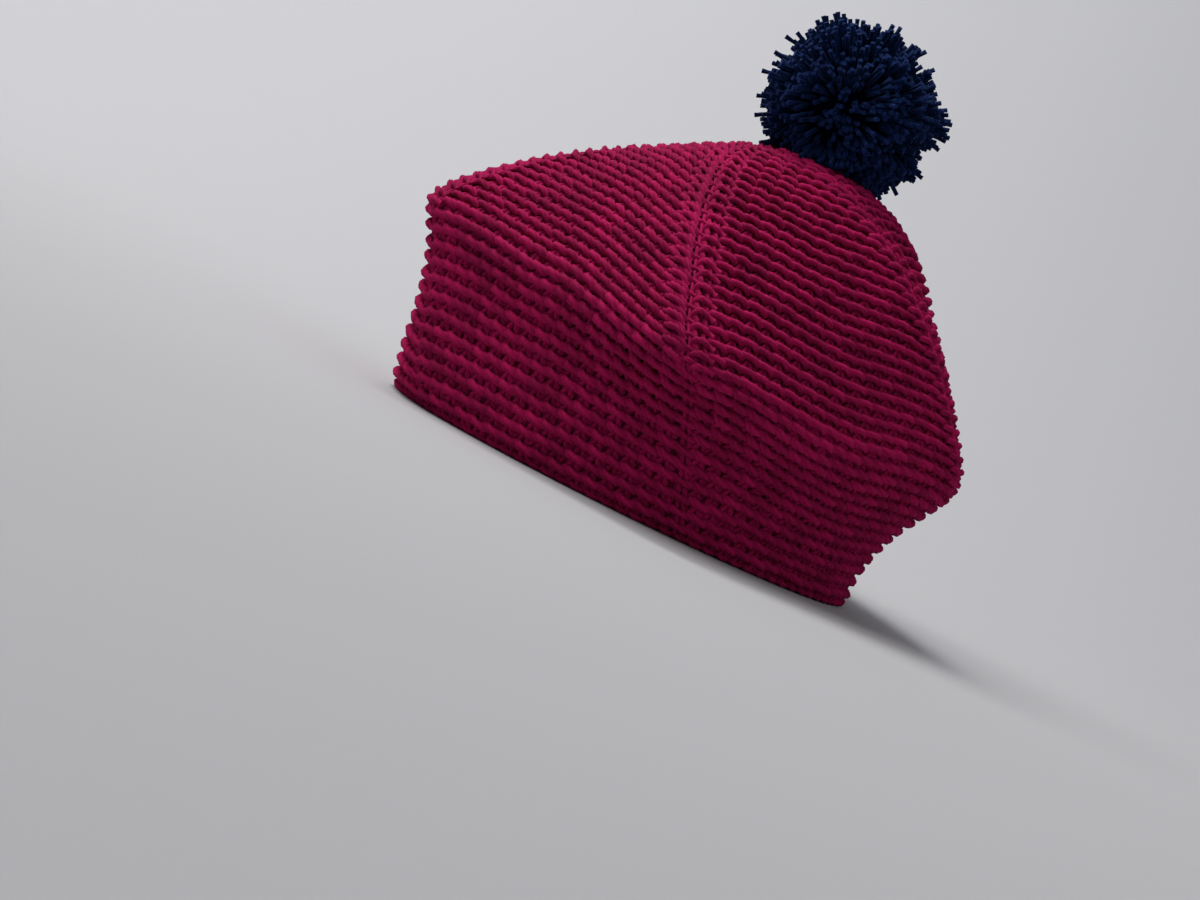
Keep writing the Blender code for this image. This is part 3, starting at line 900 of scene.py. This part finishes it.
def strands_tree():
    tree, given, result = new_group(
        "Strands on a ball", "GeometryNodeTree",
        {"Geometry": "Geometry", "Strands": "Int", "Centre": "Vector", "Ball radius": "Float",
         "Root radius": "Float", "Unevenness": "Float", "Stray share": "Float", "Stray length": "Float",
         "Bend": "Float", "Clumping": "Float", "Lumpiness": "Float", "Yarn radius": "Float",
         "Ply length": "Float", "Whorl": "Vector", "Whorl spread": "Float", "Whorl sweep": "Float",
         "Seat height": "Float", "Seat reach": "Float", "Seat drop": "Float", "Seed": "Int",
         "Wool": "Material"},
        {"Yarn": "Geometry"})

    def draw(low, high, offset, kind="FLOAT"):
        return chance(low, high, sums("ADD", given["Seed"], offset), kind)

    index = add("GeometryNodeInputIndex")
    level = sums("SUBTRACT", 1.0, times(sums("DIVIDE", sums("ADD", index, 0.5), given["Strands"]), 2.0))
    across = sums("SQRT", sums("SUBTRACT", 1.0, times(level, level)))
    turn = times(index, GOLDEN_TURN)
    heading = add("ShaderNodeCombineXYZ", {
        "X": times(across, sums("COSINE", turn)), "Y": times(across, sums("SINE", turn)), "Z": level})
    jitter = draw([-step for step in JITTER], JITTER, 1, "FLOAT_VECTOR")
    lock = noise(heading, LOCK_SCALE, 1.0)
    bend = scaled(flow(heading, BEND_SCALE), times(given["Bend"], BEND_TOGETHER))
    bend = moved(bend, draw((-1.0, -1.0, -1.0), (1.0, 1.0, 1.0), 5, "FLOAT_VECTOR"),
                 times(given["Bend"], BEND_ALONE))
    nearness = add("ShaderNodeVectorMath", {0: heading, 1: given["Whorl"]}, out="Value",
                   operation="DOT_PRODUCT")
    away = vector_sums("SUBTRACT", heading, scaled(given["Whorl"], nearness))
    whorl = sums("POWER", sums("MAXIMUM", nearness, 0.0), WHORL_FALL)
    bend = moved(bend, away, times(whorl, given["Whorl sweep"]))
    heading = moved(heading, flow(heading, CLUMP_SCALE), given["Clumping"])
    heading = moved(heading, away, times(whorl, given["Whorl spread"]))
    heading = vector_sums("NORMALIZE", vector_sums("ADD", heading, jitter))
    stray = sums("LESS_THAN", draw(0.0, 1.0, 2), given["Stray share"])
    tip = sums("SUBTRACT", given["Ball radius"], times(
        sums("POWER", draw(0.0, 1.0, 3), SHORTNESS_FALL), given["Unevenness"]))
    tip = sums("ADD", tip, times(stray, times(draw(LEAST_STRAY, 1.0, 4), given["Stray length"])))
    tip = sums("ADD", tip, times(sums("SUBTRACT", lock, 0.5), given["Lumpiness"]))

    points = add("GeometryNodePoints", {"Count": given["Strands"]})
    points = stored(points, "heading", heading)
    points = stored(points, "aside", bend)
    points = stored(points, "tip", tip, "FLOAT")
    points = stored(points, "tone", draw(0.0, 1.0, 6), "FLOAT")
    line = add("GeometryNodeCurvePrimitiveLine", {"Start": (0.0, 0.0, 0.0), "End": (0.0, 0.0, 1.0)})
    line = add("GeometryNodeResampleCurve", {"Curve": line, "Count": STRAND_POINTS})
    strands = add("GeometryNodeInstanceOnPoints", {"Points": points, "Instance": line})
    strands = add("GeometryNodeRealizeInstances", {"Geometry": strands})

    share = add("GeometryNodeSplineParameter", out="Factor")
    # Painted shade and light: each strand darkens towards its root and lightens towards its tip, over its
    # own random tone.
    tone = sums("MULTIPLY_ADD", sums("POWER", share, TIP_LIGHT_POWER), PAINTED_LIGHT_RISE, ROOT_PAINTED_SHADE)
    tone = sums("MULTIPLY_ADD", named("tone", "FLOAT"), TONE_CHANCE, tone)
    strands = stored(strands, "tone", tone, "FLOAT")
    length = sums("SUBTRACT", named("tip", "FLOAT"), given["Root radius"])
    reach = sums("ADD", given["Root radius"], times(share, length))
    place = moved(given["Centre"], named("heading"), reach)
    place = moved(place, named("aside"), times(share, share))

    spot = parts(place)
    from_axis = vector_sums("SUBTRACT", place, given["Centre"])
    from_axis = vector_sums("MULTIPLY", from_axis, (1, 1, 0))
    from_axis = add("ShaderNodeVectorMath", {0: from_axis}, out="Value", operation="LENGTH")
    fall = sums("POWER", sums("DIVIDE", from_axis, given["Seat reach"]), SEAT_FALL)
    drop = times(given["Seat drop"], fall)
    seat = sums("ADD", sums("SUBTRACT", given["Seat height"], drop), given["Yarn radius"])
    lifted = add("ShaderNodeCombineXYZ", {
        "X": spot["X"], "Y": spot["Y"], "Z": sums("MAXIMUM", spot["Z"], seat)})
    strands = add("GeometryNodeSetPosition", {"Geometry": strands, "Position": lifted})
    strands = add("GeometryNodeSetCurveRadius", {
        "Curve": strands, "Radius": sums("MULTIPLY_ADD", share, TIP_THICKENING, ROOT_THICKNESS)})
    return finished(tree, swept(strands, given["Yarn radius"], given["Ply length"]), given, result)


STRANDS = strands_tree()
pompom = grown("pompom_strands", bpy.data.meshes.new("pompom_strands"), STRANDS, {
    "Strands": 3000, "Centre": POMPOM_CENTRE, "Ball radius": POMPOM_DIAMETER / 2 - POMPOM_TRIM,
    "Root radius": 0.014, "Unevenness": 0.0035, "Stray share": 0.008, "Stray length": 0.0060, "Bend": 0.0045,
    "Clumping": 0.70, "Lumpiness": 0.009, "Yarn radius": 0.00098, "Ply length": 0.045,
    "Whorl": Vector((-0.27, -0.934, -0.236)), "Whorl spread": 0.28, "Whorl sweep": 0.010,
    "Seat height": CROWN_HEIGHT + POMPOM_SEAT, "Seat reach": FOLD_REACH * MEAN_REACH,
    "Seat drop": CROWN_HEIGHT - FOLD_HEIGHT, "Seed": 7, "Wool": NAVY})
dressed(pompom, "pompom_wool", "pompom")

# %% [markdown]
# A plain ball stands for the roots that crowd in the pompom's middle, flattened where it lies over
# the crown. Its near-black colour is painted shade, far darker than the navy yarn. More strands could
# fill it too, but they would hardly show.

# %% The pompom's heart
HEART_RADIUS = 0.0265
HEART_SEAT = 0.0006


def pompom_heart():
    """A ball that fills the pompom behind its strands, flattened where it lies over the crown, near-black as
    painted shade.
    """
    bpy.ops.mesh.primitive_ico_sphere_add(subdivisions=4, radius=HEART_RADIUS)
    item = bpy.context.object
    item.name = item.data.name = "pompom_heart"
    for vertex in item.data.vertices:
        vertex.co += POMPOM_CENTRE
        vertex.co.z = max(vertex.co.z, CROWN_HEIGHT + HEART_SEAT)
    # Painted shade: the heart is coloured far darker than the strands' yarn.
    item.data.materials.append(NAVY_PAINTED_SHADE)
    item.data.shade_smooth()
    return item


dressed(pompom_heart(), "pompom_wool", "pompom")

# %% [markdown]
# Inside the crown's centre the tie ends in a knot. A torus knot is a formula that looks like a real one:
# a strand that winds twice round a ring while it goes three times through it. The same sweep of yarn
# covers it.

# %% The tie's knot
KNOT_DIAMETER = 0.0085
KNOT_YARN_RADIUS = 0.0011
KNOT_STEPS = 60
KNOT_GAP = 0.0003
WINDS = 1.5             # times through the ring for each time round it
KNOT_TIGHTNESS = 0.9
TIE_TOP = 0.008         # above the crown, inside the pompom
TAIL = ((0.001, 0.001, -0.003), (0.002, 0.0015, -0.007), (0.004, 0.001, -0.012))


def knot_path():
    centre = Vector((CROWN_SET_BACK, 0, CROWN_HEIGHT - WALL - KNOT_DIAMETER / 2 - KNOT_GAP))
    ring = KNOT_DIAMETER / 4
    tube = ring - KNOT_YARN_RADIUS / 2
    points = []
    for i in range(KNOT_STEPS + 1):
        angle = 4 * math.pi * i / KNOT_STEPS
        out = ring + tube * math.cos(WINDS * angle) * KNOT_TIGHTNESS
        points.append(centre + Vector((
            out * math.cos(angle), out * math.sin(angle), tube * math.sin(WINDS * angle))))
    return points


def tie():
    start = Vector((CROWN_SET_BACK, 0, CROWN_HEIGHT + TIE_TOP))
    knot = knot_path()
    tail = knot[-1]
    path = eased([start, Vector((CROWN_SET_BACK, 0, CROWN_HEIGHT - WALL))], 6) + knot
    return path + [tail + Vector(step) for step in TAIL]


def tie_tree():
    tree, given, result = new_group(
        "Yarn along edges", "GeometryNodeTree",
        {"Edges": "Geometry", "Yarn radius": "Float", "Wool": "Material"}, {"Yarn": "Geometry"})
    path = add("GeometryNodeMeshToCurve", {"Mesh": given["Edges"]})
    path = add("GeometryNodeSetCurveRadius", {"Curve": path, "Radius": 1.0})
    return finished(tree, swept(path, given["Yarn radius"], PLY_LENGTH), given, result)


tie_points = tie()
tie_mesh = bpy.data.meshes.new("pompom_tie_yarn")
tie_mesh.from_pydata(tie_points, [(i, i + 1) for i in range(len(tie_points) - 1)], [])
knot = grown("pompom_tie_yarn", tie_mesh, tie_tree(), {"Yarn radius": KNOT_YARN_RADIUS, "Wool": NAVY})
dressed(knot, "tie_wool", "pompom_tie")

# %% [markdown]
# The stage is a pale sweep: a floor that curves up into a wall with no edge, so no line crosses the
# picture. Two flat sheets would be simpler, but the corner between them would show.

# %% Floor and backdrop
STAGE_FRONT = -12.0
STAGE_HALF_WIDTH = 12.0
STAGE_TOP = 4.5
BEND_START = 0.45
BEND_RADIUS = 1.6
BEND_STEPS = 24


def sweep_stage():
    profile = [(STAGE_FRONT, 0.0), (BEND_START, 0.0)]
    for i in range(1, BEND_STEPS + 1):
        angle = math.pi / 2 * i / BEND_STEPS
        profile.append((BEND_START + BEND_RADIUS * math.sin(angle), BEND_RADIUS * (1 - math.cos(angle))))
    profile.append((BEND_START + BEND_RADIUS, STAGE_TOP))
    points = [(x, y, z) for y, z in profile for x in (-STAGE_HALF_WIDTH, STAGE_HALF_WIDTH)]
    faces = [(2 * i, 2 * i + 1, 2 * i + 3, 2 * i + 2) for i in range(len(profile) - 1)]
    mesh = bpy.data.meshes.new("stage")
    mesh.from_pydata(points, [], faces)
    mesh.shade_smooth()
    paint, shader = new_material("stage_paper")
    set_values(shader, {"Base Color": (0.42, 0.415, 0.425, 1), "Roughness": 0.95})
    mesh.materials.append(paint)
    item = put("stage", mesh)


sweep_stage()

# %% [markdown]
# A large soft light stands high on the left, a weak one fills from the right, a third brightens the wall
# behind, and the air gives the rest. Wide lamps give soft shadows, where a sun lamp would draw hard ones.


# %% Lights
def soft_light(name, place, aim, size, power, colour):
    lamp = bpy.data.lights.new(name, "AREA")
    lamp.shape = "DISK"
    lamp.size = size
    lamp.energy = power
    lamp.color = colour
    item = put(name, lamp)
    item.location = place
    item.rotation_euler = (Vector(aim) - Vector(place)).to_track_quat("-Z", "Y").to_euler()


HAT_MIDDLE = (0.0, 0.0, 0.08)
soft_light("window", (-0.85, -0.20, 1.50), HAT_MIDDLE, 1.5, 20, (1.0, 0.98, 0.97))
soft_light("fill", (1.5, -1.6, 1.0), HAT_MIDDLE, 1.6, 2, (0.95, 0.97, 1.0))
soft_light("backdrop light", (-0.9, 0.7, 2.4), (-0.1, 2.05, 0.9), 1.2, 52, (0.98, 0.99, 1.0))
world = bpy.data.worlds.new("air")
world.use_nodes = True
set_values(world.node_tree.nodes["Background"], {"Color": (0.80, 0.84, 0.90, 1), "Strength": 0.40})
bpy.context.scene.world = world
bpy.context.scene.view_settings.view_transform = "Standard"

# %% [markdown]
# The camera stands 0.9 m away, a little above the rim, and leans to its side, because the hat is seen
# tilted: its rim runs down to the right across the picture.

# %% Camera
CAMERA_PLACE = Vector((-0.014, -0.900, 0.0625))
CAMERA_TARGET = Vector((-0.014, 0.0, 0.0128))
CAMERA_ROLL = math.radians(26.3)
VIEW_WIDTH = 0.472
SENSOR_WIDTH = 36.0

forward = (CAMERA_TARGET - CAMERA_PLACE).normalized()
level_right = forward.cross(Vector((0, 0, 1))).normalized()
level_up = level_right.cross(forward)
right = level_right * math.cos(CAMERA_ROLL) + level_up * math.sin(CAMERA_ROLL)
up = level_up * math.cos(CAMERA_ROLL) - level_right * math.sin(CAMERA_ROLL)
camera_data = bpy.data.cameras.new("camera")
camera_data.sensor_width = SENSOR_WIDTH
camera_data.lens = SENSOR_WIDTH * (CAMERA_TARGET - CAMERA_PLACE).length / VIEW_WIDTH
camera_data.clip_start = 0.01
camera = put("camera", camera_data)
camera.matrix_world = Matrix((
    (right.x, up.x, -forward.x, CAMERA_PLACE.x),
    (right.y, up.y, -forward.y, CAMERA_PLACE.y),
    (right.z, up.z, -forward.z, CAMERA_PLACE.z),
    (0, 0, 0, 1)))
bpy.context.scene.camera = camera
print("lens: %.1f mm" % camera_data.lens)

# %% [markdown]
# Last, the number of triangles in all the pieces is printed.

# %% Measure and finish
print("triangles in all:", TOTAL["triangles"])
